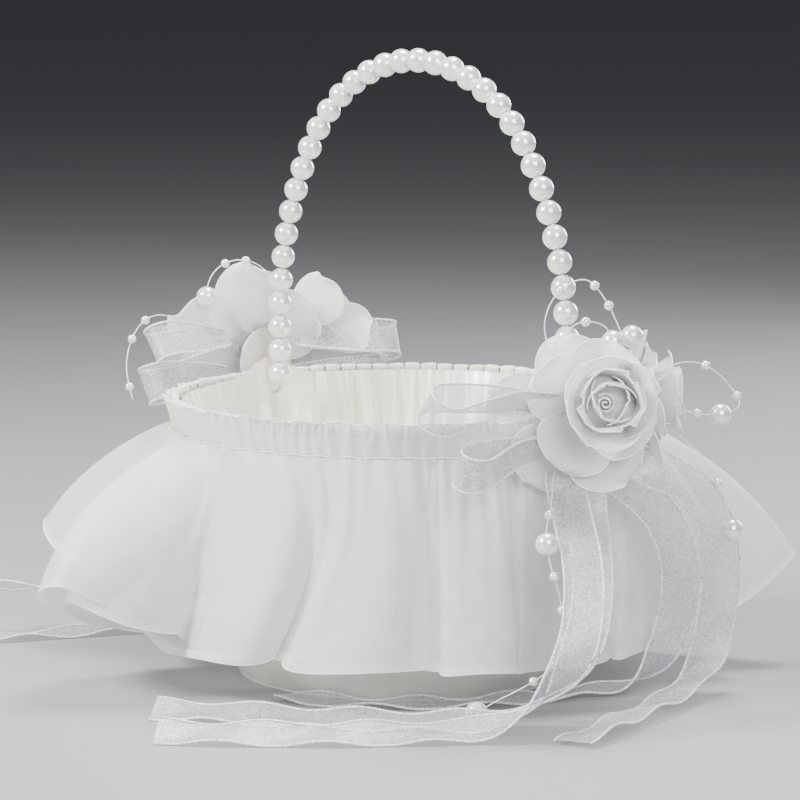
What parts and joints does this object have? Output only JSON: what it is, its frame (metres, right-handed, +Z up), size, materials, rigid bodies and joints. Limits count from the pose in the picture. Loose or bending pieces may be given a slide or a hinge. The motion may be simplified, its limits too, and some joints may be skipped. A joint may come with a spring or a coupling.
{
  "type": "flower girl basket",
  "caption": "Flared satin basket with a gathered organza skirt, a swinging pearl handle, fabric roses, ribbon bows and trailing bead garlands.",
  "frame": {"origin": "centre of the flat underside of the drum, on the surface it stands on", "axes": "+Z up; the handle stands in a plane parallel to X, and the side shown fully in the picture faces +X and -Y"},
  "size_m": [0.3424, 0.3067, 0.2559],
  "materials": {
    "satin": "satin",
    "board": "matte",
    "organza": "sheer",
    "thread": "matte",
    "felt": "matte",
    "metal": "plain",
    "pearl": "pearlescent",
    "petal": "matte",
    "ribbon": "sheer with metallic edges",
    "line": "clear"
  },
  "bodies": {
    "basket": {"base_board": "board", "bottom_cover": "satin", "bow_knot_left": "ribbon", "bow_knot_right": "ribbon", "bow_loops_left": "ribbon", "bow_loops_right": "ribbon", "eyelet_left": "metal", "eyelet_right": "metal", "felt_pad_left": "felt", "felt_pad_right": "felt", "floor_pad": "satin", "garland_left_side_beads": "pearl", "garland_left_side_line": "line", "garland_left_top_beads": "pearl", "garland_left_top_line": "line", "garland_right_arc_beads": "pearl", "garland_right_arc_line": "line", "garland_right_hanging_beads": "pearl", "garland_right_hanging_line": "line", "garland_right_loop_beads": "pearl", "garland_right_loop_line": "line", "garland_right_pearls_beads": "pearl", "garland_right_pearls_line": "line", "garland_right_pendant_beads": "pearl", "garland_right_pendant_line": "line", "garland_right_side_beads": "pearl", "garland_right_side_line": "line", "gather_thread": "thread", "heading_frill": "organza", "outer_cover": "satin", "rim_pleats": "satin", "rose_left_bud": "petal", "rose_left_inner_petals": "petal", "rose_left_outer_petals": "petal", "rose_right_bud": "petal", "rose_right_inner_petals": "petal", "rose_right_outer_petals": "petal", "satin_lining": "satin", "side_rose_left_bud": "petal", "side_rose_left_inner_petals": "petal", "side_rose_left_outer_petals": "petal", "side_rose_right_bud": "petal", "side_rose_right_inner_petals": "petal", "side_rose_right_outer_petals": "petal", "skirt_under": "organza", "skirt_upper": "organza", "tail_left_far": "ribbon", "tail_left_near": "ribbon", "tail_right_base": "ribbon", "tail_right_inner": "ribbon", "tail_right_outer": "ribbon", "tail_right_side": "ribbon", "wall_shell": "board"},
    "handle": {"handle_wire": "metal", "handle_pearls": "pearl", "wire_crimps": "metal"}
  },
  "joints": [
    {"name": "handle_swing", "type": "hinge", "parent": "basket", "child": "handle", "pos_m": [0, 0.007, 0.106], "axis": [1, 0, 0], "range_deg": [-40, 40]}
  ]
}
